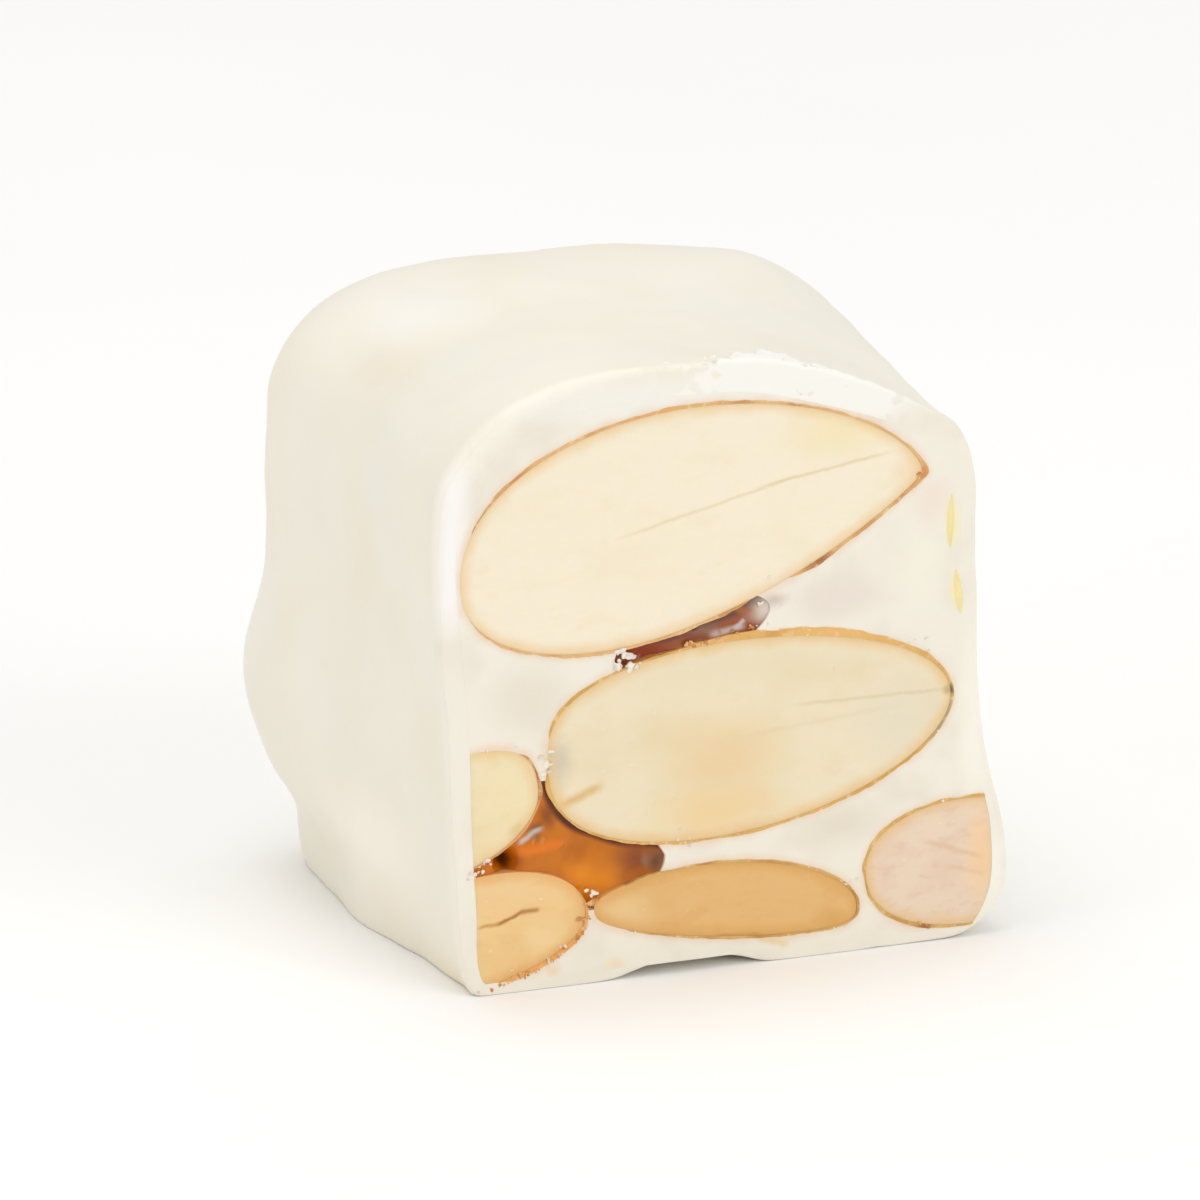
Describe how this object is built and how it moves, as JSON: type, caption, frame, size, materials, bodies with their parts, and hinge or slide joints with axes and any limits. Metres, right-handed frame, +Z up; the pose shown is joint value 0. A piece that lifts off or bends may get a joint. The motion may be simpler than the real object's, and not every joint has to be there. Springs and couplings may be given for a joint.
{
  "type": "almond brittle piece",
  "caption": "Half of a block of almond brittle, coated in white chocolate and sliced open to show cut almonds, white filling and golden caramel.",
  "frame": {"origin": "middle of the base, on the surface that the piece stands on", "axes": "+Z up, +Y from the slice into the piece, so the cut face looks along -Y, and +X to the right across the slice"},
  "size_m": [0.0276, 0.024, 0.0267],
  "materials": {
    "white_chocolate": "satin white chocolate",
    "white_filling": "matte cut white filling",
    "almond": "matte cut almond",
    "toasted_almond": "matte cut toasted almond",
    "pink_almond": "matte grainy cut almond",
    "caramel": "glossy golden brown caramel"
  },
  "bodies": {
    "root": {"coat": "white_chocolate", "filling": "white_filling", "almond_top": "almond", "almond_middle": "almond", "almond_left": "almond", "almond_lower_left": "toasted_almond", "almond_bottom": "toasted_almond", "almond_right": "pink_almond", "caramel_pocket": "caramel", "caramel_seam": "caramel"}
  },
  "joints": []
}
